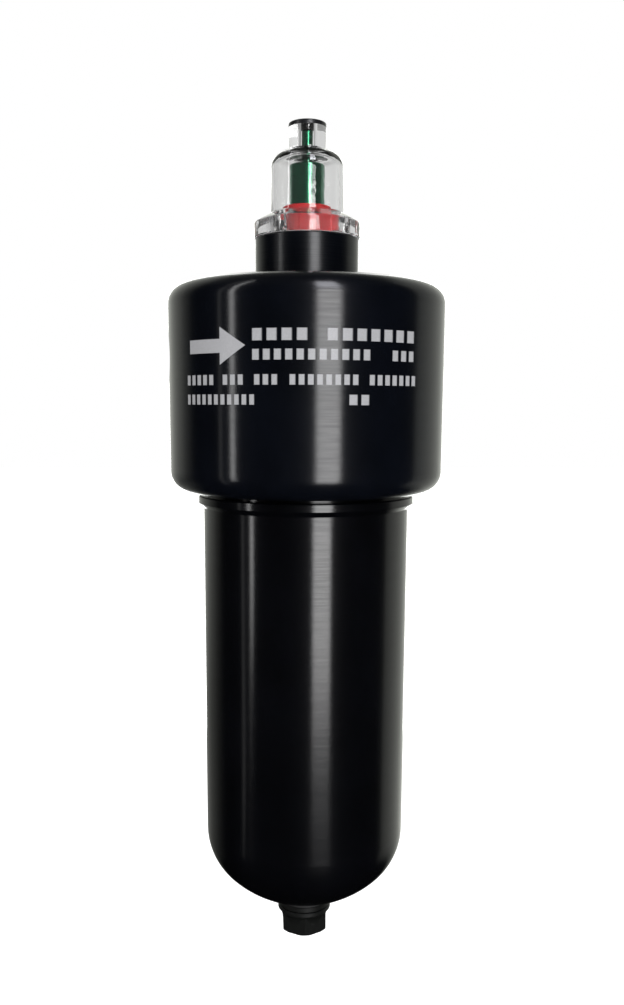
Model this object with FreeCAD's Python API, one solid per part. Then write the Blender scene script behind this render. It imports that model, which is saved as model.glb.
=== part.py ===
"""Compressed air filter with a differential pressure indicator, built as separate parts.

All lengths are in millimetres. Heights are measured from the axis of the two pipe ports, and
every part is drawn round the vertical axis of the bowl. On export the whole filter is shifted
along X, so that the origin lies where the thread of the inlet port begins.
"""

import math
import os

import FreeCAD
import Part

# ---- pipe ports ----
PORT_THREAD_R = 9.32          # wall of a G1/2 tapped hole
PORT_THREAD_START = 44.8      # distance of the first thread from the bowl axis
PORT_THREAD_LENGTH = 17.8
PORT_MOUTH_R = 10.8           # chamfered mouth
INLET_PASSAGE_R = 7.5
OUTLET_DROP_R = 6.5
OUTLET_DROP_X = 22.5

# ---- head ----
HEAD_R = 47.5
HEAD_TOP = 24.0
HEAD_BOTTOM = -45.7
HEAD_TOP_FILLET = 6.2
HEAD_BOTTOM_FILLET = 7.2
BASE_BORE_R = 12.0            # seat of the indicator's shank
BASE_BORE_FLOOR = 10.95
CENTRE_BORE_R = 9.5
SPIGOT_BORE_R = 12.0          # takes the top of the filter element
SPIGOT_R = 17.0
SPIGOT_END = -30.0
CHAMBER_R = 31.0
CHAMBER_ROOF = -11.0
BOWL_SOCKET_R = 35.3
BOWL_SOCKET_ROOF = -24.0

# ---- bowl ----
BOWL_R = 36.2
BOWL_WALL = 4.9
NECK_R = 35.0
NECK_TOP = -25.5
THREAD_PITCH = 2.0
THREAD_DEPTH = 0.8
THREAD_TURNS = 5
RING_GROOVE_TOP = -40.2
RING_GROOVE_BOTTOM = -43.2
RING_GROOVE_R = 32.8
COLLAR_R = 38.0
COLLAR_TOP = -46.9
COLLAR_BOTTOM = -49.6
BODY_TOP = -51.4
BODY_END = -170.5
KNUCKLE_R = 22.7
CROWN_R = 41.6
DRAIN_PAD_R = 10.5
DRAIN_PAD_Z = -199.2
DRAIN_BORE_R = 6.75

# ---- manual drain ----
WASHER_THICK = 1.0
DRAIN_FLANGE_R = 9.9
DRAIN_FLANGE_THICK = 2.0
DRAIN_SHANK_R = 6.65
DRAIN_SHANK_TOP = -193.4
SPINDLE_R = 5.4
SPINDLE_END = -209.6
STEM_BORE_R = 3.2
SEAT_Z = -197.2
SEAT_POCKET_R = 5.3
KNOB_TOP = -202.55
KNOB_BOTTOM = -212.2
KNOB_FLATS = 16.0
KNOB_WAIST_R = 8.2
KNOB_WAIST_Z = -208.5
KNOB_FLARE_R = 6.8
CLIP_TOP = -207.0
CLIP_BOTTOM = -207.8
STEM_R = 3.0

# ---- filter element ----
ELEMENT_TOP = -30.2
ELEMENT_CAP_R = 25.2
MEDIA_TOP = -36.5
MEDIA_END = -146.5
ELEMENT_END = -152.0
INNER_CORE = (13.0, 13.7)
MEDIA = (14.0, 20.3)
OUTER_CORE = (20.6, 21.2)
FOAM = (21.4, 24.6)

# ---- pressure indicator ----
BASE_R = 17.65
BASE_TOP = 39.85
SHANK_R = 11.9
SHANK_END = 11.25
PISTON_BORE_R = 4.3
PISTON_BORE_FLOOR = 12.95
TUBE_SEAT_R = 6.3
TUBE_SEAT_Z = 31.95
TUBE_R = 5.95
TUBE_END = 33.15
TUBE_TOP = 63.7
ROD_R = 1.85
ROD_TOP = 74.4
FLANGE_R = 18.1
FLANGE_TOP = 44.9
DOME_FOOT_R = 12.5
DOME_FOOT_Z = 48.1
DOME_R = 12.2
DOME_SHOULDER_Z = 63.0
DOME_CAVITY_R = 11.2
DOME_CAVITY_ROOF = 65.6
DOME_NECK_R = 6.35
NECK_END_Z = 75.7
NECK_BORE_R = 2.2
CAP_R = 6.35
CAP_TOP = 77.3
BUSH_R = 3.6
BUSH_TOP = 68.9
SCREW_CIRCLE_R = 15.1
SCREW_ANGLES = {"a": 84.0, "b": -36.0, "c": -156.0}   # from the front, towards the right
SCREW_SEAT_Z = 41.6
SLEEVE_BORE_R = 6.2
SLEEVE_SKIRT_R = 6.65
SLEEVE_RIB_R = 7.0
SLEEVE_COLLAR_R = 8.26
SLEEVE_BOTTOM = 40.35
SLEEVE_COLLAR_Z = 47.6
SLEEVE_TOP = 50.1
SLEEVE_KEY_ANGLE = 56.0
SLEEVE_KEY_R = 10.9
SLEEVE_KEY_HALF = 3.6
SLEEVE_RIB_ANGLES = (-30.0, 6.0, 120.0, 165.0, 210.0, 255.0)

UP = FreeCAD.Vector(0, 0, 1)


def turned(profile):
    """Solid of revolution about Z. A profile entry is (radius, height) for a straight run to
    that point, or (radius, height, via_radius, via_height) for an arc that passes a point."""
    points = [FreeCAD.Vector(entry[0], 0, entry[1]) for entry in profile]
    edges = []
    for i, entry in enumerate(profile):
        start, end = points[i - 1], points[i]
        if len(entry) == 4:
            via = FreeCAD.Vector(entry[2], 0, entry[3])
            edges.append(Part.Arc(start, via, end).toShape())
        elif start.distanceToPoint(end) > 1e-6:
            edges.append(Part.makeLine(start, end))
    wire = Part.Wire(Part.__sortEdges__(edges))
    return Part.Face(wire).revolve(FreeCAD.Vector(0, 0, 0), UP, 360)


def arc(centre_r, centre_z, radius, start_deg, end_deg):
    """Profile entry for an arc about a centre, from one angle to another."""
    middle = math.radians((start_deg + end_deg) / 2)
    end = math.radians(end_deg)
    return (
        centre_r + radius * math.cos(end),
        centre_z + radius * math.sin(end),
        centre_r + radius * math.cos(middle),
        centre_z + radius * math.sin(middle),
    )


def cylinder(radius, low, high):
    return Part.makeCylinder(radius, high - low, FreeCAD.Vector(0, 0, low), UP)


def tube(inner, outer, low, high):
    return cylinder(outer, low, high).cut(cylinder(inner, low - 1, high + 1))


def ring(centre_r, section_r, height):
    """Rubber ring of round section."""
    return Part.makeTorus(centre_r, section_r, FreeCAD.Vector(0, 0, height), UP)


def drilled(radius, start, end):
    """Drill along the line from one point to another."""
    a, b = FreeCAD.Vector(*start), FreeCAD.Vector(*end)
    return Part.makeCylinder(radius, a.distanceToPoint(b), a, b - a)


def hex_prism(across_flats, low, high):
    """Hexagon with one corner towards the front."""
    corner_r = across_flats / math.sqrt(3)
    corners = [
        FreeCAD.Vector(
            corner_r * math.sin(math.radians(60 * k)), -corner_r * math.cos(math.radians(60 * k)), low
        )
        for k in range(6)
    ]
    face = Part.Face(Part.makePolygon(corners + corners[:1]))
    return face.extrude(FreeCAD.Vector(0, 0, high - low))


def from_front(angle_deg, radius, height):
    """Point at an angle from the front, towards the right, round the bowl axis."""
    angle = math.radians(angle_deg)
    return FreeCAD.Vector(radius * math.sin(angle), -radius * math.cos(angle), height)


def round_end(radius, knuckle, crown, start_z):
    """Centre height, meeting angle and lowest point of a dished end."""
    sine = (radius - knuckle) / (crown - knuckle)
    cosine = math.sqrt(1 - sine**2)
    centre_z = start_z + (crown - knuckle) * cosine
    return centre_z, math.degrees(math.asin(sine))


def on_crown(centre_z, crown, radius):
    """Height of the dished end at a radius from the axis."""
    return centre_z - math.sqrt(crown**2 - radius**2)


def crown_angle(centre_z, crown, radius):
    return -90 + math.degrees(math.asin(radius / crown))


# ---- head and ports ----


def make_head():
    f, g = HEAD_TOP_FILLET, HEAD_BOTTOM_FILLET
    profile = [
        (BOWL_SOCKET_R + 0.8, HEAD_BOTTOM),
        (HEAD_R - g, HEAD_BOTTOM),
        arc(HEAD_R - g, HEAD_BOTTOM + g, g, -90, 0),
        (HEAD_R, HEAD_TOP - f),
        arc(HEAD_R - f, HEAD_TOP - f, f, 0, 90),
        (BASE_BORE_R, HEAD_TOP),
        (BASE_BORE_R, BASE_BORE_FLOOR),
        (1.5, BASE_BORE_FLOOR),
        (1.5, INLET_PASSAGE_R),
        (CENTRE_BORE_R, INLET_PASSAGE_R),
        (CENTRE_BORE_R, -12.0),
        (SPIGOT_BORE_R, -12.0),
        (SPIGOT_BORE_R, SPIGOT_END + 0.7),
        (SPIGOT_BORE_R + 0.7, SPIGOT_END),
        (SPIGOT_R, SPIGOT_END),
        (SPIGOT_R, CHAMBER_ROOF),
        (CHAMBER_R, CHAMBER_ROOF),
        (CHAMBER_R, BOWL_SOCKET_ROOF),
        (BOWL_SOCKET_R, BOWL_SOCKET_ROOF),
        (BOWL_SOCKET_R, HEAD_BOTTOM + 0.8),
    ]
    head = turned(profile)
    thread_end = PORT_THREAD_START - PORT_THREAD_LENGTH
    mouth = PORT_THREAD_START + PORT_MOUTH_R - PORT_THREAD_R
    for side in (-1, 1):
        outwards = FreeCAD.Vector(side, 0, 0)
        thread = Part.makeCylinder(
            PORT_THREAD_R, PORT_THREAD_LENGTH + 1, FreeCAD.Vector(side * thread_end, 0, 0), outwards
        )
        chamfer = Part.makeCone(
            PORT_THREAD_R,
            PORT_MOUTH_R,
            mouth - PORT_THREAD_START,
            FreeCAD.Vector(side * PORT_THREAD_START, 0, 0),
            outwards,
        )
        recess = Part.makeCylinder(PORT_MOUTH_R, 5, FreeCAD.Vector(side * mouth, 0, 0), outwards)
        head = head.cut(thread.fuse([chamfer, recess]))
    inlet_passage = drilled(INLET_PASSAGE_R, (-thread_end - 1, 0, 0), (0, 0, 0))
    outlet_passage = drilled(INLET_PASSAGE_R, (OUTLET_DROP_X, 0, 0), (thread_end + 1, 0, 0))
    outlet_drop = drilled(
        OUTLET_DROP_R, (OUTLET_DROP_X, 0, CHAMBER_ROOF - 1), (OUTLET_DROP_X, 0, INLET_PASSAGE_R)
    )
    sensing_hole = drilled(1.25, (9.1, 0, BASE_BORE_FLOOR + 0.5), (21.0, 0, -3.0))
    return head.cut(inlet_passage).cut(outlet_passage.fuse(outlet_drop)).cut(sensing_hole)


# ---- bowl ----


def make_bowl():
    centre_z, meet = round_end(BOWL_R, KNUCKLE_R, CROWN_R, BODY_END)
    inner_r = BOWL_R - BOWL_WALL
    inner_knuckle, inner_crown = KNUCKLE_R - BOWL_WALL, CROWN_R - BOWL_WALL
    profile = [
        (inner_r, NECK_TOP - 0.6),
        (inner_r + 0.6, NECK_TOP),
        (NECK_R - 0.8, NECK_TOP),
        (NECK_R, NECK_TOP - 0.8),
    ]
    height = NECK_TOP - 1.4
    for _ in range(THREAD_TURNS):
        profile.append((NECK_R, height))
        profile.append((NECK_R - THREAD_DEPTH, height - 0.75))
        profile.append((NECK_R, height - 1.5))
        height -= THREAD_PITCH
    profile += [
        (NECK_R, RING_GROOVE_TOP),
        (RING_GROOVE_R, RING_GROOVE_TOP),
        (RING_GROOVE_R, RING_GROOVE_BOTTOM),
        (NECK_R, RING_GROOVE_BOTTOM),
        (NECK_R, COLLAR_TOP),
        (COLLAR_R - 0.4, COLLAR_TOP),
        (COLLAR_R, COLLAR_TOP - 0.4),
        (COLLAR_R, COLLAR_BOTTOM),
        (BOWL_R, BODY_TOP),
        (BOWL_R, BODY_END),
        arc(BOWL_R - KNUCKLE_R, BODY_END, KNUCKLE_R, 0, meet - 90),
        arc(0, centre_z, CROWN_R, meet - 90, crown_angle(centre_z, CROWN_R, DRAIN_PAD_R)),
        (DRAIN_PAD_R, DRAIN_PAD_Z + 0.3),
        (DRAIN_PAD_R - 0.3, DRAIN_PAD_Z),
        (DRAIN_BORE_R, DRAIN_PAD_Z),
        (DRAIN_BORE_R, on_crown(centre_z, inner_crown, DRAIN_BORE_R)),
        arc(0, centre_z, inner_crown, crown_angle(centre_z, inner_crown, DRAIN_BORE_R), meet - 90),
        arc(inner_r - inner_knuckle, BODY_END, inner_knuckle, meet - 90, 0),
    ]
    return turned(profile)


def make_baffle():
    """Ribbed insert that keeps the collected water still in the bottom of the bowl."""
    centre_z, meet = round_end(BOWL_R, KNUCKLE_R, CROWN_R, BODY_END)
    crown, knuckle = CROWN_R - BOWL_WALL - 0.3, KNUCKLE_R - BOWL_WALL - 0.3
    room_r = BOWL_R - BOWL_WALL - 0.3
    room = turned([
        (0, -156.8),
        (room_r, -156.8),
        (room_r, BODY_END),
        arc(room_r - knuckle, BODY_END, knuckle, 0, meet - 90),
        (0, centre_z - crown, crown * math.sin(math.radians(meet / 2)),
         centre_z - crown * math.cos(math.radians(meet / 2))),
    ])
    blades = []
    for k in range(3):
        blade = Part.makeBox(80, 1.8, 31, FreeCAD.Vector(-40, -0.9, -187.8))
        blade.rotate(FreeCAD.Vector(0, 0, 0), UP, 30 + 60 * k)
        blades.append(blade)
    hub = cylinder(9.0, -184.8, -156.8)
    rim = tube(room_r - 1.8, room_r, -161.8, -156.8)
    solid = blades[0].fuse(blades[1:] + [hub, rim]).common(room)
    return solid.cut(cylinder(7.4, -200, -150)).removeSplitter()


# ---- manual drain ----


def make_drain_body():
    washer_bottom = DRAIN_PAD_Z - WASHER_THICK
    flange_bottom = washer_bottom - DRAIN_FLANGE_THICK
    return turned([
        (SEAT_POCKET_R, DRAIN_SHANK_TOP),
        (DRAIN_SHANK_R - 0.4, DRAIN_SHANK_TOP),
        (DRAIN_SHANK_R, DRAIN_SHANK_TOP - 0.4),
        (DRAIN_SHANK_R, washer_bottom),
        (DRAIN_FLANGE_R - 0.2, washer_bottom),
        (DRAIN_FLANGE_R, washer_bottom - 0.2),
        (DRAIN_FLANGE_R, flange_bottom + 0.2),
        (DRAIN_FLANGE_R - 0.2, flange_bottom),
        (SPINDLE_R, flange_bottom),
        (SPINDLE_R, CLIP_TOP),
        (SPINDLE_R - 0.6, CLIP_TOP),
        (SPINDLE_R - 0.6, CLIP_BOTTOM),
        (SPINDLE_R, CLIP_BOTTOM),
        (SPINDLE_R, SPINDLE_END),
        (STEM_BORE_R, SPINDLE_END),
        (STEM_BORE_R, SEAT_Z - 0.7),
        (STEM_BORE_R + 0.7, SEAT_Z),
        (SEAT_POCKET_R, SEAT_Z),
    ])


def make_drain_knob():
    """Hexagon whose top flares out to a round flange; the water leaves through its middle."""
    flare_centre_r = KNOB_WAIST_R + KNOB_FLARE_R
    flange_bottom = KNOB_TOP - 1.45
    rise = flange_bottom - KNOB_WAIST_Z
    flare_start = 180 - math.degrees(math.asin(rise / KNOB_FLARE_R))
    flare_top_r = flare_centre_r + KNOB_FLARE_R * math.cos(math.radians(flare_start))
    flange = turned([
        (0, KNOB_TOP),
        (flare_top_r - 0.2, KNOB_TOP),
        (flare_top_r, KNOB_TOP - 0.2),
        (flare_top_r, flange_bottom),
        arc(flare_centre_r, KNOB_WAIST_Z, KNOB_FLARE_R, flare_start, 180),
        (0, KNOB_WAIST_Z),
    ])
    corner_r = KNOB_FLATS / math.sqrt(3)
    chamfer = turned([
        (0, KNOB_TOP),
        (corner_r + 0.5, KNOB_TOP),
        (corner_r + 0.5, KNOB_BOTTOM + 1.0),
        (corner_r - 0.9, KNOB_BOTTOM),
        (0, KNOB_BOTTOM),
    ])
    solid = hex_prism(KNOB_FLATS, KNOB_BOTTOM, KNOB_TOP - 0.5).common(chamfer).fuse(flange)
    hollow = turned([
        (0, KNOB_TOP + 1),
        (SPINDLE_R + 0.2, KNOB_TOP + 1),
        (SPINDLE_R + 0.2, CLIP_TOP + 0.25),
        (SPINDLE_R + 1.3, CLIP_TOP + 0.25),
        (SPINDLE_R + 1.3, CLIP_BOTTOM - 0.25),
        (SPINDLE_R + 0.2, CLIP_BOTTOM - 0.25),
        (SPINDLE_R + 0.2, SPINDLE_END - 0.3),
        (STEM_BORE_R, SPINDLE_END - 0.3),
        (STEM_BORE_R, KNOB_BOTTOM + 0.4),
        (STEM_BORE_R + 0.5, KNOB_BOTTOM - 0.1),
        (0, KNOB_BOTTOM - 0.1),
    ])
    return solid.cut(hollow).removeSplitter()


def make_drain_clip():
    """Open snap ring that holds the knob on the drain body."""
    clip = tube(SPINDLE_R - 0.55, SPINDLE_R + 1.05, CLIP_BOTTOM + 0.05, CLIP_TOP - 0.05)
    return clip.cut(Part.makeBox(10, 1.8, 4, FreeCAD.Vector(0, -0.9, CLIP_BOTTOM - 1)))


def make_drain_stem():
    """Hollow valve stem: water passes its cross holes when its head is off the seat."""
    stem = turned([
        (0, DRAIN_SHANK_TOP - 0.7),
        (4.4, DRAIN_SHANK_TOP - 0.7),
        (4.9, DRAIN_SHANK_TOP - 1.2),
        (4.9, SEAT_Z + 1.4),
        (STEM_R, SEAT_Z + 1.4),
        (STEM_R, KNOB_BOTTOM + 1.2),
        (1.2, KNOB_BOTTOM + 1.2),
        (1.2, SEAT_Z - 1.9),
        (0, SEAT_Z - 2.4),
    ])
    return stem.cut(drilled(0.8, (-5, 0, SEAT_Z - 3.2), (5, 0, SEAT_Z - 3.2)))


# ---- filter element ----


def make_element_top_cap():
    spigot_top = -14.0
    return turned([
        (8.5, spigot_top),
        (11.2, spigot_top),
        (11.7, spigot_top - 0.5),
        (11.7, -18.0),
        (10.0, -18.0),
        (10.0, -20.2),
        (11.7, -20.2),
        (11.7, -23.6),
        (10.0, -23.6),
        (10.0, -25.8),
        (11.7, -25.8),
        (11.7, ELEMENT_TOP),
        (ELEMENT_CAP_R - 0.8, ELEMENT_TOP),
        (ELEMENT_CAP_R, ELEMENT_TOP - 0.8),
        (ELEMENT_CAP_R, MEDIA_TOP - 2.5),
        (FOAM[1] + 0.1, MEDIA_TOP - 2.5),
        (FOAM[1] + 0.1, MEDIA_TOP),
        (8.5, MEDIA_TOP),
    ])


def make_element_bottom_cap():
    return turned([
        (0, MEDIA_END),
        (FOAM[1] + 0.1, MEDIA_END),
        (FOAM[1] + 0.1, MEDIA_END + 2.5),
        (ELEMENT_CAP_R, MEDIA_END + 2.5),
        (ELEMENT_CAP_R, ELEMENT_END + 0.8),
        (ELEMENT_CAP_R - 0.8, ELEMENT_END),
        (7.0, ELEMENT_END),
        (6.0, ELEMENT_END - 2.5),
        (0, ELEMENT_END - 2.5),
    ])


def make_perforated(inner, outer, holes, rows, hole_r):
    """Steel tube with rows of drilled holes."""
    shell = tube(inner, outer, MEDIA_END, MEDIA_TOP)
    step = (MEDIA_TOP - MEDIA_END) / rows
    drills = []
    for row in range(rows):
        height = MEDIA_END + step * (row + 0.5)
        for k in range(holes // 2):
            angle = math.pi * (2 * k + row % 2) / holes
            x, y = 40 * math.cos(angle), 40 * math.sin(angle)
            drills.append(drilled(hole_r, (-x, -y, height), (x, y, height)))
    return shell.cut(Part.makeCompound(drills))


# ---- pressure indicator ----


def make_indicator_base():
    base = turned([
        (BASE_R - 0.4, BASE_TOP),
        (BASE_R, BASE_TOP - 0.4),
        (BASE_R, HEAD_TOP + 0.3),
        (BASE_R - 0.3, HEAD_TOP),
        (15.6, HEAD_TOP),
        (15.6, HEAD_TOP + 1.5),
        (13.2, HEAD_TOP + 1.5),
        (13.2, HEAD_TOP),
        (SHANK_R, HEAD_TOP),
        (SHANK_R, SHANK_END + 0.5),
        (SHANK_R - 0.5, SHANK_END),
        (4.3, SHANK_END),
        (4.3, SHANK_END + 1.2),
        (2.3, SHANK_END + 1.2),
        (2.3, SHANK_END),
        (1.5, SHANK_END),
        (1.5, PISTON_BORE_FLOOR),
        (PISTON_BORE_R, PISTON_BORE_FLOOR),
        (PISTON_BORE_R, TUBE_SEAT_Z),
        (TUBE_SEAT_R, TUBE_SEAT_Z),
        (TUBE_SEAT_R, BASE_TOP),
        (11.5, BASE_TOP),
        (11.5, BASE_TOP - 1.25),
        (13.1, BASE_TOP - 1.25),
        (13.1, BASE_TOP),
    ])
    base = base.cut(drilled(0.8, (8.3, 0, SHANK_END - 1), (8.3, 0, 30.55)))
    base = base.cut(drilled(0.8, (8.9, 0, 30.55), (0, 0, 30.55)))
    for angle in SCREW_ANGLES.values():
        foot = from_front(angle, SCREW_CIRCLE_R, 33.95)
        base = base.cut(Part.makeCylinder(1.25, 10, foot, UP))
    return base


def make_dome():
    cove = 1.0
    shoulder_r = DOME_R - DOME_NECK_R - cove
    root_z = DOME_SHOULDER_Z + shoulder_r
    corner = 2.6
    dome = turned([
        (DOME_CAVITY_R, BASE_TOP + 0.05),
        (FLANGE_R - 0.3, BASE_TOP + 0.05),
        (FLANGE_R, BASE_TOP + 0.35),
        (FLANGE_R - 0.05, FLANGE_TOP - 0.4),
        arc(FLANGE_R - 0.95, FLANGE_TOP - 0.4, 0.9, 0, 53.5),
        (DOME_FOOT_R + 0.5, DOME_FOOT_Z - 0.5),
        (DOME_FOOT_R, DOME_FOOT_Z),
        (DOME_R, DOME_SHOULDER_Z),
        arc(DOME_R - shoulder_r, DOME_SHOULDER_Z, shoulder_r, 0, 90),
        (DOME_NECK_R, root_z + cove, DOME_NECK_R + 0.293 * cove, root_z + 0.293 * cove),
        (DOME_NECK_R, NECK_END_Z),
        (NECK_BORE_R, NECK_END_Z),
        (NECK_BORE_R, BUSH_TOP + 0.05),
        (BUSH_R + 0.05, BUSH_TOP + 0.05),
        (BUSH_R + 0.05, DOME_CAVITY_ROOF),
        (DOME_CAVITY_R - corner - 0.2, DOME_CAVITY_ROOF),
        arc(DOME_CAVITY_R - corner - 0.2, DOME_CAVITY_ROOF - corner, corner, 90, 0),
    ])
    for angle in SCREW_ANGLES.values():
        foot = from_front(angle, SCREW_CIRCLE_R, BASE_TOP - 1)
        seat = from_front(angle, SCREW_CIRCLE_R, SCREW_SEAT_Z)
        dome = dome.cut(Part.makeCylinder(1.5, 10, foot, UP))
        dome = dome.cut(Part.makeCylinder(2.35, 10, seat, UP))
    return dome


def make_screw(angle):
    """Socket head screw through the foot of the dome."""
    head = cylinder(2.1, SCREW_SEAT_Z, SCREW_SEAT_Z + 2.0)
    head = head.makeChamfer(0.25, [head.Edges[0]])
    socket = hex_prism(2.0, SCREW_SEAT_Z + 0.9, SCREW_SEAT_Z + 3)
    screw = head.cut(socket).fuse(cylinder(1.2, 34.95, SCREW_SEAT_Z)).removeSplitter()
    screw.translate(from_front(angle, SCREW_CIRCLE_R, 0))
    return screw


def make_green_tube():
    """Closed pressure tube with a slender rod on top, held by the cap of the dome."""
    return turned([
        (PISTON_BORE_R, TUBE_END),
        (TUBE_SEAT_R - 0.1, TUBE_END),
        (TUBE_SEAT_R - 0.1, BASE_TOP),
        (TUBE_R, BASE_TOP),
        (TUBE_R, TUBE_TOP - 0.5),
        arc(TUBE_R - 0.5, TUBE_TOP - 0.5, 0.5, 0, 90),
        (ROD_R + 0.4, TUBE_TOP),
        (ROD_R, TUBE_TOP + 0.4, ROD_R + 0.12, TUBE_TOP + 0.12),
        (ROD_R, ROD_TOP - 0.3),
        (ROD_R - 0.3, ROD_TOP),
        (0, ROD_TOP),
        (0, TUBE_TOP - 2),
        (PISTON_BORE_R, TUBE_TOP - 2),
    ])


def make_dome_cap():
    return turned([
        (0, CAP_TOP),
        (CAP_R - 0.6, CAP_TOP - 0.1),
        (CAP_R, CAP_TOP - 0.5, CAP_R - 0.17, CAP_TOP - 0.23),
        (CAP_R, NECK_END_Z + 0.04),
        (NECK_BORE_R - 0.05, NECK_END_Z + 0.04),
        (NECK_BORE_R - 0.05, ROD_TOP + 0.04),
        (0, ROD_TOP + 0.04),
    ])


def make_rod_bush():
    """Rubber bush that steadies the rod at the foot of the neck."""
    return turned([
        (ROD_R + 0.03, DOME_CAVITY_ROOF + 0.4),
        (BUSH_R - 0.3, DOME_CAVITY_ROOF + 0.4),
        (BUSH_R, DOME_CAVITY_ROOF + 0.7),
        (BUSH_R, BUSH_TOP - 0.3),
        (BUSH_R - 0.3, BUSH_TOP),
        (ROD_R + 0.03, BUSH_TOP),
    ])


def make_sleeve():
    """Red sleeve with a collar round its top, ribs round its skirt and one guide key."""
    sleeve = turned([
        (SLEEVE_BORE_R, SLEEVE_BOTTOM),
        (SLEEVE_SKIRT_R, SLEEVE_BOTTOM),
        (SLEEVE_SKIRT_R, SLEEVE_COLLAR_Z),
        (SLEEVE_COLLAR_R - 0.4, SLEEVE_COLLAR_Z),
        arc(SLEEVE_COLLAR_R - 0.4, SLEEVE_COLLAR_Z + 0.4, 0.4, -90, 0),
        (SLEEVE_COLLAR_R, SLEEVE_TOP - 0.5),
        arc(SLEEVE_COLLAR_R - 0.5, SLEEVE_TOP - 0.5, 0.5, 0, 90),
        (SLEEVE_BORE_R, SLEEVE_TOP),
        (SLEEVE_BORE_R, 49.8),
        (7.4, 49.8),
        (7.4, 48.0),
        (SLEEVE_BORE_R, 48.0),
    ])
    height = SLEEVE_COLLAR_Z - SLEEVE_BOTTOM
    additions = []
    for angle in SLEEVE_RIB_ANGLES:
        rib = Part.makeBox(1.6, SLEEVE_RIB_R - 6.4, height, FreeCAD.Vector(-0.8, -SLEEVE_RIB_R, SLEEVE_BOTTOM))
        rib.rotate(FreeCAD.Vector(0, 0, 0), UP, angle)
        additions.append(rib)
    key = Part.makeBox(
        2 * SLEEVE_KEY_HALF, 9, height - 0.2, FreeCAD.Vector(-SLEEVE_KEY_HALF, -15, SLEEVE_BOTTOM)
    )
    key = key.common(cylinder(SLEEVE_KEY_R, SLEEVE_BOTTOM - 1, SLEEVE_TOP))
    key = key.makeFillet(0.5, [edge for edge in key.Edges if edge.CenterOfMass.y < -9.0])
    key.rotate(FreeCAD.Vector(0, 0, 0), UP, SLEEVE_KEY_ANGLE)
    additions.append(key)
    return sleeve.fuse(additions).removeSplitter()


def make_piston():
    """Pressure piston at the foot, with a cup for the magnet on top of its stem."""
    return turned([
        (0, 13.15),
        (3.7, 13.15),
        (4.05, 13.5),
        (4.05, 14.35),
        (3.2, 14.35),
        (3.2, 15.55),
        (4.05, 15.55),
        (4.05, 16.65),
        (2.0, 16.65),
        (2.0, 44.95),
        (3.95, 44.95),
        (3.95, 51.25),
        (3.05, 51.25),
        (3.05, 46.95),
        (0, 46.95),
    ])


def make_spring():
    """Compression spring between the piston and its fixed seat."""
    wire_r, coil_r = 0.28, 3.2
    low, high = 16.7 + wire_r, TUBE_SEAT_Z - 0.05 - wire_r
    helix = Part.makeHelix((high - low) / 7.0, high - low, coil_r)
    helix.translate(FreeCAD.Vector(0, 0, low))
    start = FreeCAD.Vector(coil_r, 0, low)
    rise = (high - low) / 7.0
    run = FreeCAD.Vector(0, 2 * math.pi * coil_r, rise)
    section = Part.Wire(Part.makeCircle(wire_r, start, run))
    return Part.Wire(helix).makePipeShell([section], True, True)


centre_z, _ = round_end(BOWL_R, KNUCKLE_R, CROWN_R, BODY_END)
parts = {
    "filter_head": make_head(),
    "bowl": make_bowl(),
    "bowl_oring": ring(33.95, 1.1, (RING_GROOVE_TOP + RING_GROOVE_BOTTOM) / 2),
    "bowl_baffle": make_baffle(),
    "drain_washer": tube(DRAIN_SHANK_R + 0.1, DRAIN_FLANGE_R - 0.3, DRAIN_PAD_Z - WASHER_THICK, DRAIN_PAD_Z),
    "drain_body": make_drain_body(),
    "drain_knob": make_drain_knob(),
    "drain_clip": make_drain_clip(),
    "drain_stem": make_drain_stem(),
    "drain_stem_oring": ring(STEM_R + 0.75, 0.6, SEAT_Z + 0.75),
    "element_top_cap": make_element_top_cap(),
    "element_oring_upper": ring(10.95, 0.93, -19.1),
    "element_oring_lower": ring(10.95, 0.93, -24.7),
    "element_inner_core": make_perforated(*INNER_CORE, 8, 13, 2.4),
    "element_media": tube(*MEDIA, MEDIA_END, MEDIA_TOP),
    "element_outer_core": make_perforated(*OUTER_CORE, 12, 13, 2.8),
    "element_foam": tube(*FOAM, MEDIA_END, MEDIA_TOP),
    "element_bottom_cap": make_element_bottom_cap(),
    "indicator_base": make_indicator_base(),
    "base_oring": ring(14.4, 0.75, HEAD_TOP + 0.75),
    "sensing_oring": ring(3.3, 0.75, SHANK_END + 0.45),
    "dome_oring": ring(12.3, 0.65, BASE_TOP - 0.6),
    "indicator_dome": make_dome(),
    "dome_cap": make_dome_cap(),
    "rod_bush": make_rod_bush(),
    "green_tube": make_green_tube(),
    "tube_oring": ring(5.5, 0.58, TUBE_SEAT_Z + 0.6),
    "spring_seat": tube(2.25, 4.8, TUBE_SEAT_Z, TUBE_SEAT_Z + 1.0),
    "piston_spring": make_spring(),
    "piston": make_piston(),
    "piston_oring": ring(3.68, 0.45, 14.95),
    "piston_magnet": cylinder(3.0, 47.0, 50.95),
    "red_sleeve": make_sleeve(),
    "sleeve_magnet": tube(6.3, 7.3, 48.1, 49.7),
}
for name, angle in SCREW_ANGLES.items():
    parts["dome_screw_" + name] = make_screw(angle)

os.makedirs("parts", exist_ok=True)
for name, shape in parts.items():
    shape.translate(FreeCAD.Vector(PORT_THREAD_START, 0, 0))
    shape.exportStep("parts/" + name + ".step")
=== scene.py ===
"""Looks for the compressed air filter: camera, studio light and procedural materials."""

import math

import bpy
from mathutils import Matrix


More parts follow.
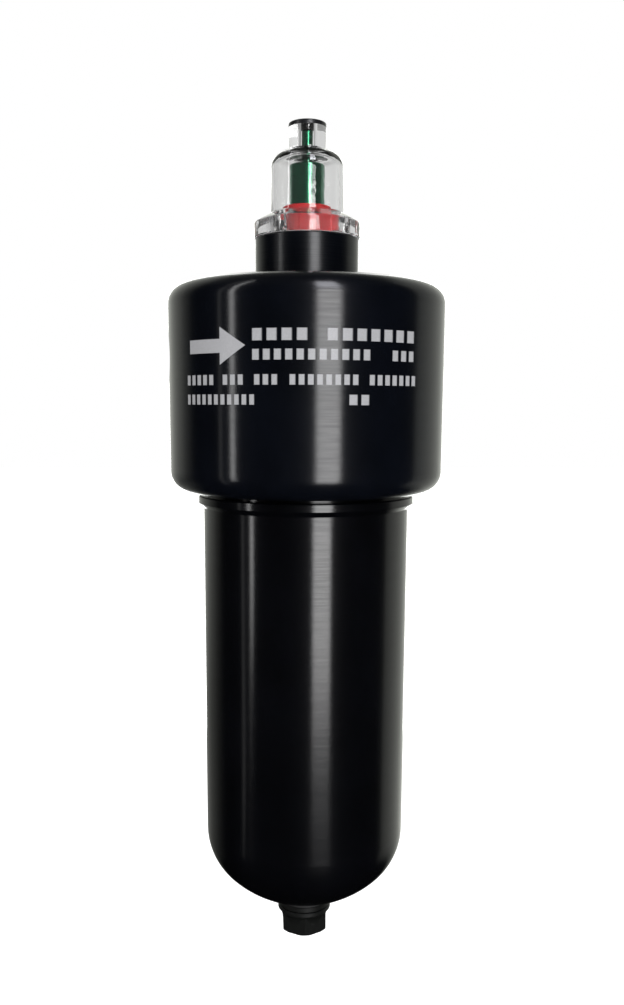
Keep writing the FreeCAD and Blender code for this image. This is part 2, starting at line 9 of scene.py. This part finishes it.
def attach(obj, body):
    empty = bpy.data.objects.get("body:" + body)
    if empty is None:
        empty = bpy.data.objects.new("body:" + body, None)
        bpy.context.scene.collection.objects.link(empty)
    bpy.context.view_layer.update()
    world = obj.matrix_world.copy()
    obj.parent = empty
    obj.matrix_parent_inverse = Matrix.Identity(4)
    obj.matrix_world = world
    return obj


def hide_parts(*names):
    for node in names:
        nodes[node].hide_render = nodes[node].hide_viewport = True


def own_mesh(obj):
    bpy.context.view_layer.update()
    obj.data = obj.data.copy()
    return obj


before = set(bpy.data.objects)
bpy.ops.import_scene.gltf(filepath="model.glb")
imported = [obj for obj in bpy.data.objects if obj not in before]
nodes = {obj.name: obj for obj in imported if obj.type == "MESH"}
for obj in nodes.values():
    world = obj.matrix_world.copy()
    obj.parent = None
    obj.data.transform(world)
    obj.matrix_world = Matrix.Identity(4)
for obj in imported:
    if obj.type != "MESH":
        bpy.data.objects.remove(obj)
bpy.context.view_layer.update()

scene = bpy.context.scene

# ---- places and sizes in the frame, in metres ----

AXIS_X = 0.0448               # axis of the bowl; the ports' axis is z = 0
HEAD_R = 0.0475
DECK_Z = 0.0243               # flat top of the head, where the indicator base starts
PORT_START = 0.0448           # mouth of a port, from the bowl axis
PORT_THREAD = 0.0178          # length of its thread
PORT_PITCH = 0.001814
PORT_WALL_R = 0.0097          # just outside the bore of a port
DOME_SEAT_Z = 0.03994         # underside of the dome
DOME_FOOT_LOW_Z = 0.0472      # the dome's thick foot ends between these heights
DOME_FOOT_HIGH_Z = 0.0484
FLOOR_Z = -0.42
FLOOR_HALF = 6.0
LIGHT_DISTANCE = 1.2          # from the bowl axis to every lamp

DEGREE = math.pi / 180
MM = 0.001

# ---- camera ----

CAMERA_TURN = math.radians(-2.5)      # round the bowl axis, from the front towards the right
CAMERA_DISTANCE = 0.33805
CAMERA_Z = -0.0165
CAMERA_PITCH = math.radians(9.17)
CAMERA_ROLL = math.radians(0.25)
CAMERA_LENS_MM = 34.09
CAMERA_SENSOR_MM = 36.0
CAMERA_SHIFT_X = 0.0064
CAMERA_SHIFT_Y = 0.05775

camera_data = bpy.data.cameras.new("camera")
camera_data.lens = CAMERA_LENS_MM
camera_data.sensor_width = CAMERA_SENSOR_MM
camera_data.shift_x = CAMERA_SHIFT_X
camera_data.shift_y = CAMERA_SHIFT_Y
camera_data.clip_start = 0.01
camera = bpy.data.objects.new("camera", camera_data)
scene.collection.objects.link(camera)
camera.matrix_world = (
    Matrix.Translation((
        AXIS_X + CAMERA_DISTANCE * math.sin(CAMERA_TURN),
        -CAMERA_DISTANCE * math.cos(CAMERA_TURN),
        CAMERA_Z,
    ))
    @ Matrix.Rotation(CAMERA_TURN, 4, "Z")
    @ Matrix.Rotation(math.pi / 2 - CAMERA_PITCH, 4, "X")
    @ Matrix.Rotation(CAMERA_ROLL, 4, "Z")
)
scene.camera = camera
scene.view_settings.view_transform = "Standard"

# ---- node helpers ----


def put(socket, value):
    """Link a socket to another one, or set its value."""
    if isinstance(value, bpy.types.NodeSocket):
        socket.id_data.links.new(value, socket)
    elif isinstance(value, (tuple, list)) and len(value) == 3 and socket.type == "RGBA":
        socket.default_value = (*value, 1.0)
    else:
        socket.default_value = value


class Tree:
    """Short names for the nodes of one material or world."""

    def __init__(self, owner):
        owner.use_nodes = True
        self.tree = owner.node_tree
        self.tree.nodes.clear()
        self.parts = None

    def node(self, kind, inputs=None, **settings):
        made = self.tree.nodes.new(kind)
        for key, value in settings.items():
            setattr(made, key, value)
        for key, value in (inputs or {}).items():
            put(made.inputs[key], value)
        return made

    def math(self, operation, a, b=0.0):
        made = self.node("ShaderNodeMath", operation=operation)
        put(made.inputs[0], a)
        put(made.inputs[1], b)
        return made.outputs[0]

    def add(self, a, b):
        return self.math("ADD", a, b)

    def sub(self, a, b):
        return self.math("SUBTRACT", a, b)

    def mul(self, a, b):
        return self.math("MULTIPLY", a, b)

    def least(self, *values):
        result = values[0]
        for value in values[1:]:
            result = self.math("MINIMUM", result, value)
        return result

    def most(self, *values):
        result = values[0]
        for value in values[1:]:
            result = self.math("MAXIMUM", result, value)
        return result

    def step(self, value, low, high):
        """0 below low, 1 above high."""
        made = self.node(
            "ShaderNodeMapRange",
            {"Value": value, "From Min": low, "From Max": high, "To Min": 0.0, "To Max": 1.0},
            clamp=True,
        )
        return made.outputs[0]

    def spread(self, value, low, high):
        """Map 0..1 to low..high."""
        made = self.node(
            "ShaderNodeMapRange",
            {"Value": value, "To Min": low, "To Max": high},
            clamp=True,
        )
        return made.outputs[0]

    def band(self, value, centre, half, soft):
        """1 where value is within half of centre, with a soft edge."""
        away = self.math("ABSOLUTE", self.sub(value, centre))
        return self.step(away, half + soft / 2, half - soft / 2)

    def place(self):
        """x from the bowl axis, y and z, in metres."""
        if self.parts is None:
            coordinates = self.node("ShaderNodeTexCoord").outputs["Object"]
            split = self.node("ShaderNodeSeparateXYZ", {0: coordinates}).outputs
            self.parts = (self.sub(split[0], AXIS_X), split[1], split[2])
        return self.parts

    def vector(self, x, y, z):
        return self.node("ShaderNodeCombineXYZ", {0: x, 1: y, 2: z}).outputs[0]

    def stretched(self, across, up):
        """Position scaled by one factor in x and y and by another in z."""
        x, y, z = self.place()
        return self.vector(self.mul(x, across), self.mul(y, across), self.mul(z, up))

    def noise(self, vector, scale=1.0, detail=2.0, roughness=0.5):
        made = self.node(
            "ShaderNodeTexNoise",
            {"Vector": vector, "Scale": scale, "Detail": detail, "Roughness": roughness},
        )
        return made.outputs["Fac"]

    def azimuth(self):
        """Angle round the bowl axis from the front, towards the right, in radians."""
        x, y, _ = self.place()
        return self.math("ARCTAN2", x, self.mul(y, -1.0))

    def radius(self):
        x, y, _ = self.place()
        return self.math("SQRT", self.add(self.mul(x, x), self.mul(y, y)))

    def mix(self, factor, a, b):
        made = self.node("ShaderNodeMix", data_type="RGBA")
        put(made.inputs[0], factor)
        put(made.inputs[6], a)
        put(made.inputs[7], b)
        return made.outputs[2]

    def blend(self, factor, a, b):
        return self.node("ShaderNodeMix", {0: factor, 2: a, 3: b}, data_type="FLOAT").outputs[0]

    def curve(self, value, stops):
        """Grey level read off straight lines between stops of (value, level)."""
        made = self.node("ShaderNodeValToRGB", {"Fac": value})
        elements = made.color_ramp.elements
        while len(elements) > 1:
            elements.remove(elements[-1])
        for k, (place, level) in enumerate(stops):
            stop = elements[0] if k == 0 else elements.new(place)
            stop.position = place
            stop.color = (level, level, level, 1.0)
        return made.outputs["Color"]

    def bump(self, height, distance, strength=1.0, normal=None):
        inputs = {"Height": height, "Distance": distance, "Strength": strength}
        if normal is not None:
            inputs["Normal"] = normal
        return self.node("ShaderNodeBump", inputs).outputs[0]

    def tangent(self):
        """Direction round the bowl axis, for turned surfaces."""
        return self.node("ShaderNodeTangent", direction_type="RADIAL", axis="Z").outputs[0]

    def shade(self, inputs):
        shader = self.node("ShaderNodeBsdfPrincipled", inputs)
        self.node("ShaderNodeOutputMaterial", {"Surface": shader.outputs[0]})


def new_material(name):
    material = bpy.data.materials.new(name)
    return material, Tree(material)


def darker(colour, factor):
    return tuple(c * factor for c in colour)


def lighter(colour, factor):
    return tuple(min(1.0, c * factor) for c in colour)


# ---- etched marks: a plain flow arrow and plain blocks in rows ----

# flow arrow: its middle in degrees from the front and millimetres above the ports' axis, and then
# millimetres along the surface from that middle
ARROW_TURN = -39.5
ARROW_HEIGHT = 1.9
ARROW_TAIL = -11.5
ARROW_SHAFT_END = 2.5
ARROW_HEAD_START = 2.35
ARROW_TIP = 11.6
ARROW_SHAFT_HALF = 2.1
ARROW_HEAD_SLOPE = 0.62       # half height of the head per millimetre from its tip

# rows of blocks: lowest and highest edge in millimetres, left and right end in degrees,
# pitch in degrees, share of the pitch that a block fills, and which blocks are left out
BLOCK_ROWS = (
    (3.2, 6.8, -22.8, 42.4, 5.4, 0.7, (4,)),
    (-2.5, 0.7, -22.8, 42.4, 4.1, 0.66, (11, 12)),
    (-9.9, -6.8, -55.5, 43.7, 3.4, 0.66, (5, 9, 13, 22)),
    (-15.9, -12.8, -55.5, -22.0, 3.3, 0.64, ()),
    (-15.9, -12.8, 13.4, 21.4, 4.4, 0.7, ()),
)
MARK_SOFT = 0.1               # blur of a mark's edge in millimetres


def flow_arrow(t, along, height):
    run = t.mul(t.sub(along, ARROW_TURN), HEAD_R / MM * DEGREE)
    away = t.math("ABSOLUTE", t.sub(height, ARROW_HEIGHT))
    half = MARK_SOFT / 2
    shaft = t.least(
        t.band(run, (ARROW_TAIL + ARROW_SHAFT_END) / 2, (ARROW_SHAFT_END - ARROW_TAIL) / 2, 0.12),
        t.step(away, ARROW_SHAFT_HALF + half, ARROW_SHAFT_HALF - half),
    )
    inside = t.sub(t.mul(t.sub(ARROW_TIP, run), ARROW_HEAD_SLOPE), away)
    head = t.least(
        t.step(inside, -half, half),
        t.step(run, ARROW_HEAD_START - half, ARROW_HEAD_START + half),
    )
    return t.most(shaft, head)


def block_row(t, along, left, right, pitch, fill, gaps):
    """Equal blocks from left to right, less the ones whose numbers are in gaps."""
    count = round((right - left + pitch * (1 - fill)) / pitch)
    pitch = (right - left) / (count - 1 + fill)
    place = t.math("DIVIDE", t.sub(along, left), pitch)
    row = t.band(t.math("FRACT", place), fill / 2, fill / 2 - 0.02, 0.1)
    row = t.least(row, t.band(place, count / 2, count / 2 - 0.01, 0.02))
    for number in gaps:
        row = t.least(row, t.sub(1.0, t.band(place, number + 0.4, 0.54, 0.02)))
    return row


def etched_marks(t):
    _, y, z = t.place()
    along = t.mul(t.azimuth(), 1 / DEGREE)
    height = t.mul(z, 1 / MM)
    rows = [
        t.least(
            t.band(height, (low + high) / 2, (high - low) / 2, MARK_SOFT),
            block_row(t, along, *row),
        )
        for low, high, *row in BLOCK_ROWS
    ]
    marks = t.most(flow_arrow(t, along, height), *rows)
    on_wall = t.step(t.radius(), HEAD_R - 0.0005, HEAD_R - 0.0003)
    in_front = t.step(y, 0.0, -0.001)
    return t.least(marks, on_wall, in_front)


# ---- materials ----


TURNING_DEPTH = 0.00003       # of the finest lines on anodised surfaces
TURNING_STRENGTH = 0.5
BASE_DULLER = 0.14            # roughness that the indicator base has beyond the head's
METAL_GRAIN = 0.00002         # depth of the lines on bare and coloured metal


def port_thread(t):
    """Thread in both ports, which run along x."""
    x, y, z = t.place()
    across = t.math("SQRT", t.add(t.mul(y, y), t.mul(z, z)))
    side = t.math("ABSOLUTE", x)
    thread_end = PORT_START - PORT_THREAD
    threaded = t.least(
        t.step(across, PORT_WALL_R + 0.00015, PORT_WALL_R),
        t.step(side, thread_end + 0.0008, thread_end + 0.0012),
        t.step(side, PORT_START + 0.0003, PORT_START),
    )
    turn = t.math("DIVIDE", t.math("ARCTAN2", z, y), 2 * math.pi)
    phase = t.math("FRACT", t.add(t.math("DIVIDE", x, PORT_PITCH), turn))
    ridge = t.math("ABSOLUTE", t.sub(t.mul(phase, 2.0), 1.0))
    return t.bump(t.mul(ridge, threaded), 0.0009)


def anodised(name, colour, gloss, marks=False):
    """Black anodised aluminium, finely turned round the bowl axis."""
    material, t = new_material(name)
    fine = t.noise(t.stretched(28.0, 5200.0), 1.0, 3.0, 0.6)
    broad = t.noise(t.stretched(16.0, 420.0))
    feed = t.noise(t.stretched(70.0, 2700.0), 1.0, 1.0)
    patch = t.noise(t.stretched(55.0, 40.0), 1.0, 3.0, 0.55)
    lines = t.add(t.mul(fine, 0.7), t.mul(broad, 0.3))
    base = t.mix(t.step(patch, 0.3, 0.7), darker(colour, 0.72), lighter(colour, 1.3))
    rough = t.add(t.spread(lines, 0.12, 0.20), t.spread(patch, -0.01, 0.02))
    groove = None
    if marks:
        etched = etched_marks(t)
        above_deck = t.step(t.place()[2], DECK_Z - 0.0001, DECK_Z + 0.0001)
        speck = t.noise(t.stretched(2600.0, 2600.0), 1.0, 2.0, 0.6)
        pale = t.mix(speck, (0.18, 0.18, 0.185), (0.28, 0.28, 0.286))
        base = t.mix(etched, base, pale)
        rough = t.add(rough, t.spread(above_deck, 0.0, BASE_DULLER))
        rough = t.add(rough, t.mul(etched, 0.3))
        groove = port_thread(t)
    t.shade({
        "Base Color": base,
        "Metallic": 0.0,
        "Roughness": rough,
        "IOR": 1.6,
        "Specular IOR Level": gloss,
        "Specular Tint": t.mix(t.step(feed, 0.32, 0.68), (0.74, 0.74, 0.745), (1.0, 1.0, 1.0)),
        "Anisotropic": 0.8,
        "Anisotropic Rotation": 0.25,
        "Coat Weight": 0.12,
        "Coat IOR": 1.4,
        "Coat Roughness": 0.35,
        "Normal": t.bump(lines, TURNING_DEPTH, TURNING_STRENGTH, groove),
        "Tangent": t.tangent(),
    })
    return material


def clear_plastic(name):
    """Clear moulded plastic, slightly wavy, with a little milkiness in its thick foot.

    Its underside is frosted.
    """
    material, t = new_material(name)
    height = t.place()[2]
    wave = t.noise(t.stretched(190.0, 110.0))
    grain = t.noise(t.stretched(900.0, 900.0))
    foot = t.step(height, DOME_FOOT_HIGH_Z, DOME_FOOT_LOW_Z)
    frosted = t.step(height, DOME_SEAT_Z + 0.00002, DOME_SEAT_Z - 0.00002)
    polished = t.add(t.spread(grain, 0.0, 0.04), t.spread(foot, 0.0, 0.05))
    t.shade({
        "Base Color": t.mix(grain, (0.95, 0.955, 0.95), (0.985, 0.985, 0.98)),
        "Roughness": t.most(polished, t.mul(frosted, 0.5)),
        "IOR": 1.49,
        "Transmission Weight": t.least(t.spread(foot, 1.0, 0.98), t.spread(frosted, 1.0, 0.35)),
        "Normal": t.bump(wave, 0.0012, 0.1),
    })
    return material


def moulded(name, colour, rough, grain=0.00002, scale=1800.0, subsurface=0.0):
    """Moulded plastic or rubber with a fine spark-eroded grain."""
    material, t = new_material(name)
    texture = t.noise(t.stretched(scale, scale), 1.0, 3.0, 0.55)
    patch = t.noise(t.stretched(120.0, 120.0), 1.0, 3.0)
    inputs = {
        "Base Color": t.mix(patch, darker(colour, 0.88), lighter(colour, 1.12)),
        "Roughness": t.add(t.spread(patch, rough - 0.05, rough + 0.05), t.spread(texture, -0.03, 0.03)),
        "IOR": 1.5,
        "Normal": t.bump(texture, grain),
    }
    if subsurface:
        inputs["Subsurface Weight"] = subsurface
        inputs["Subsurface Radius"] = (0.004, 0.001, 0.001)
        inputs["Subsurface Scale"] = 1.0
    t.shade(inputs)
    return material


def turned_metal(name, colour, rough, anisotropic=0.5, coat=0.0, coat_ior=1.5):
    """Bare or coloured metal with fine turning lines round the bowl axis."""
    material, t = new_material(name)
    lines = t.noise(t.stretched(40.0, 4000.0), 1.0, 3.0, 0.6)
    patch = t.noise(t.stretched(160.0, 160.0), 1.0, 3.0)
    t.shade({
        "Base Color": t.mix(patch, darker(colour, 0.85), lighter(colour, 1.12)),
        "Metallic": 1.0,
        "Roughness": t.spread(lines, rough - 0.06, rough + 0.08),
        "Anisotropic": anisotropic,
        "Anisotropic Rotation": 0.25,
        "Coat Weight": coat,
        "Coat IOR": coat_ior,
        "Coat Roughness": 0.12,
        "Normal": t.bump(lines, METAL_GRAIN),
        "Tangent": t.tangent(),
    })
    return material


def fibrous(name, colour, scale, depth, cells=False):
    """Open-celled foam, or else wound fibre, with painted shade in the low parts of its texture."""
    material, t = new_material(name)
    if cells:
        walls = t.node(
            "ShaderNodeTexVoronoi",
            {"Vector": t.stretched(scale, scale), "Scale": 1.0},
            feature="DISTANCE_TO_EDGE",
        ).outputs["Distance"]
        texture = t.step(walls, 0.22, 0.04)
    else:
        texture = t.noise(t.stretched(scale * 0.5, scale * 2.2), 1.0, 4.0, 0.65)
    patch = t.noise(t.stretched(90.0, 90.0), 1.0, 3.0)
    tone = t.mix(patch, darker(colour, 0.9), colour)
    t.shade({
        # painted shade: the colour falls to 0.45 in the texture's low parts, which are the foam's cell
        # pockets and the gaps between fibres
        "Base Color": t.mix(texture, darker(colour, 0.45), tone),
        "Roughness": t.spread(texture, 0.95, 0.8),
        "Sheen Weight": 0.25,
        "Sheen Roughness": 0.5,
        "Normal": t.bump(texture, depth),
    })
    return material


looks = {
    "head_anodised": anodised("head_anodised", (0.0010, 0.0014, 0.0026), 0.325, marks=True),
    "bowl_anodised": anodised("bowl_anodised", (0.0008, 0.0009, 0.0014), 0.37),
    "clear_plastic": clear_plastic("clear_plastic"),
    "cap_plastic": moulded("cap_plastic", (0.006, 0.006, 0.007), 0.3),
    "green_anodised": turned_metal("green_anodised", (0.006, 0.20, 0.09), 0.24, 0.6, coat=1.0, coat_ior=1.8),
    "red_plastic": moulded("red_plastic", (0.72, 0.022, 0.026), 0.28, subsurface=0.15),
    "rubber": moulded("rubber", (0.012, 0.012, 0.012), 0.62, scale=2600.0),
    "screw_steel": turned_metal("screw_steel", (0.10, 0.10, 0.105), 0.34),
    "spring_steel": turned_metal("spring_steel", (0.55, 0.55, 0.56), 0.28),
    "magnet": turned_metal("magnet", (0.50, 0.49, 0.48), 0.24),
    "piston_plastic": moulded("piston_plastic", (0.72, 0.70, 0.64), 0.42, subsurface=0.1),
    "drain_plastic": moulded("drain_plastic", (0.0022, 0.0026, 0.0022), 0.45, grain=0.00003),
    "drain_brass": turned_metal("drain_brass", (0.62, 0.42, 0.16), 0.26),
    "baffle_plastic": moulded("baffle_plastic", (0.045, 0.048, 0.052), 0.45),
    "element_plastic": moulded("element_plastic", (0.10, 0.135, 0.17), 0.42),
    "perforated_steel": turned_metal("perforated_steel", (0.58, 0.58, 0.58), 0.3),
    "filter_media": fibrous("filter_media", (0.82, 0.81, 0.76), 900.0, 0.0001),
    "foam": fibrous("foam", (0.55, 0.61, 0.63), 1100.0, 0.0002, cells=True),
}
for node in nodes.values():
    for slot in node.material_slots:
        slot.material = looks[slot.material.name.split(".")[0]]

# ---- return spring: a copy of the piston spring with a mesh of its own, attached to the head ----

spring = bpy.data.objects.new("return_spring", nodes["piston_spring"].data.copy())
scene.collection.objects.link(spring)
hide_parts("piston_spring")
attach(spring, "head")
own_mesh(spring)

# ---- floor, world and lights ----

corners = [(side * FLOOR_HALF, end * FLOOR_HALF, 0) for side, end in ((-1, -1), (1, -1), (1, 1), (-1, 1))]
floor_mesh = bpy.data.meshes.new("floor")
floor_mesh.from_pydata(corners, [], [(0, 1, 2, 3)])
floor = bpy.data.objects.new("floor", floor_mesh)
floor.location = (AXIS_X, 0, FLOOR_Z)
scene.collection.objects.link(floor)
floor_material, t = new_material("floor")
t.shade({
    "Base Color": (0.9, 0.9, 0.9),
    "Roughness": 0.9,
    "Emission Color": (1.0, 1.0, 1.0),
    "Emission Strength": 0.6,
})
floor_mesh.materials.append(floor_material)
floor.visible_glossy = False
floor.visible_shadow = False
floor.visible_transmission = False

# brightness of the studio as reflected by the filter, by degrees from the camera towards the right
STUDIO = (
    (-180, 1.0), (-165, 1.0), (-155, 0.8), (-143, 0.62), (-133, 0.50), (-124, 0.40), (-118, 0.25),
    (-112, 0.15), (-106, 0.03), (-100, 0.004), (-85, 0.002), (66, 0.002), (88, 0.01), (97, 0.04),
    (103, 0.38), (108, 0.44), (118, 0.52), (128, 0.58), (140, 0.66), (155, 0.85), (165, 1.0), (180, 1.0),
)
STUDIO_LEAST = 0.002
STUDIO_TINT = (0.975, 1.0, 0.92)
BOUNCED_LEVEL = 0.6           # the backdrop as light scattered by matt surfaces
CLEAR_LEVEL = 0.80            # the backdrop seen through clear plastic
CLEAR_MOST = 0.85 * CLEAR_LEVEL       # greatest brightness of a reflection within its walls
CLEAR_EDGE = 0.30             # least brightness of such a reflection
CLEAR_FLOOR = 0.11            # the same after several passes through the plastic


def reflected_studio(t, turn, y, z):
    """What glossy surfaces reflect: dark in front, bright behind, with a faint ceiling."""
    stops = [((degrees + 180) / 360, level) for degrees, level in STUDIO]
    around = t.curve(t.step(turn, -math.pi, math.pi), stops)
    on_left = t.step(turn, 0.2, -0.2)
    falling = t.blend(on_left, 1.0, t.spread(t.step(z, -0.30, 0.0), 0.3, 1.0))
    level = t.mul(t.step(z, 0.87, 0.70), t.step(z, -0.62, -0.42))
    ceiling = t.mul(t.step(z, 0.5, 0.75), t.spread(t.step(y, -0.1, 0.3), 0.04, 0.12))
    return t.most(t.mul(t.mul(around, falling), level), ceiling, STUDIO_LEAST)


def clear_backdrop(t, x, z):
    """What is seen through clear plastic: the backdrop, dimmer towards the top and the left."""
    backdrop = t.mul(CLEAR_LEVEL, t.spread(t.step(z, 0.62, 0.38), 0.6, 1.0))
    return t.mul(backdrop, t.spread(t.step(x, -0.3, 0.3), 0.88, 1.02))


def build_world():
    """White to the camera; the studio to glossy rays; a dimmer backdrop to rays in clear plastic."""
    world = bpy.data.worlds.new("world")
    world.cycles.sampling_method = "NONE"
    t = Tree(world)
    paths = t.node("ShaderNodeLightPath").outputs
    direction = t.node("ShaderNodeTexCoord").outputs["Generated"]
    x, y, z = t.node("ShaderNodeSeparateXYZ", {0: direction}).outputs
    turn = t.sub(t.math("ARCTAN2", x, t.mul(y, -1.0)), CAMERA_TURN)
    studio = reflected_studio(t, turn, y, z)

    def past(kind, bounces):
        return t.math("GREATER_THAN", paths[kind + " Depth"], bounces + 0.5)

    reflected = past("Glossy", 0)
    through = past("Transmission", 0)
    scattered = past("Diffuse", 0)
    deep = past("Transmission", 3)
    inside = t.least(t.most(studio, t.blend(deep, CLEAR_EDGE, CLEAR_FLOOR)), CLEAR_MOST)
    clear = t.blend(reflected, clear_backdrop(t, x, z), inside)
    opaque = t.blend(reflected, t.blend(scattered, 1.0, BOUNCED_LEVEL), studio)
    strength = t.blend(t.mul(through, t.sub(1.0, scattered)), opaque, clear)
    tint = t.mix(t.mul(reflected, t.sub(1.0, through)), (1.0, 1.0, 1.0), STUDIO_TINT)
    background = t.node("ShaderNodeBackground", {"Color": tint, "Strength": strength})
    t.node("ShaderNodeOutputWorld", {"Surface": background.outputs[0]})
    return world


scene.world = build_world()


def panel(name, turn_deg, low_deg, high_deg, half_deg, radiance, colour=(1, 1, 1)):
    """Soft light facing the bowl axis, given by the angles it spans from there at the camera's height."""
    low = CAMERA_Z + LIGHT_DISTANCE * math.tan(math.radians(low_deg))
    high = CAMERA_Z + LIGHT_DISTANCE * math.tan(math.radians(high_deg))
    width = 2 * LIGHT_DISTANCE * math.tan(math.radians(half_deg))
    light = bpy.data.lights.new(name, "AREA")
    light.shape = "RECTANGLE"
    light.size = width
    light.size_y = high - low
    light.energy = radiance * math.pi * width * (high - low)
    light.color = colour
    made = bpy.data.objects.new(name, light)
    turn = CAMERA_TURN + math.radians(turn_deg)
    made.matrix_world = (
        Matrix.Translation((
            AXIS_X + LIGHT_DISTANCE * math.sin(turn),
            -LIGHT_DISTANCE * math.cos(turn),
            (low + high) / 2,
        ))
        @ Matrix.Rotation(turn, 4, "Z")
        @ Matrix.Rotation(math.pi / 2, 4, "X")
    )
    scene.collection.objects.link(made)
    return made


MAIN_TURN = 17.4
MAIN_HALF = 9.5
MAIN_LOW = -21.6
MAIN_HIGH = 52.0
GAP_LOW = 17.4                # the gap keeps a white patch off the neck of the dome
GAP_HIGH = 20.6
NARROW_HIGH = 55.0

panel("main_strip", MAIN_TURN, MAIN_LOW, GAP_LOW, MAIN_HALF, 8.2)
panel("main_strip_middle", MAIN_TURN, 5.5, GAP_LOW, MAIN_HALF, 1.5, colour=(0.8, 0.86, 1.25))
panel("main_strip_top", MAIN_TURN, GAP_HIGH, MAIN_HIGH, MAIN_HALF, 9.7, colour=(0.97, 0.98, 1.05))
for name, turn_deg, low_deg, half_deg, radiance in (
    ("narrow_strip", -60.4, -16.0, 2.0, 6.4),
    ("faint_strip", -72.0, -30.0, 1.6, 0.6),
):
    thin = panel(name, turn_deg, low_deg, NARROW_HIGH, half_deg, radiance)
    thin.visible_transmission = False
for name, turn_deg in (("back_strip_right", 166.0), ("back_strip_left", -166.0)):
    back = panel(name, turn_deg, -24.0, 45.0, 4.0, 3.0)
    back.visible_camera = False
    back.visible_transmission = False
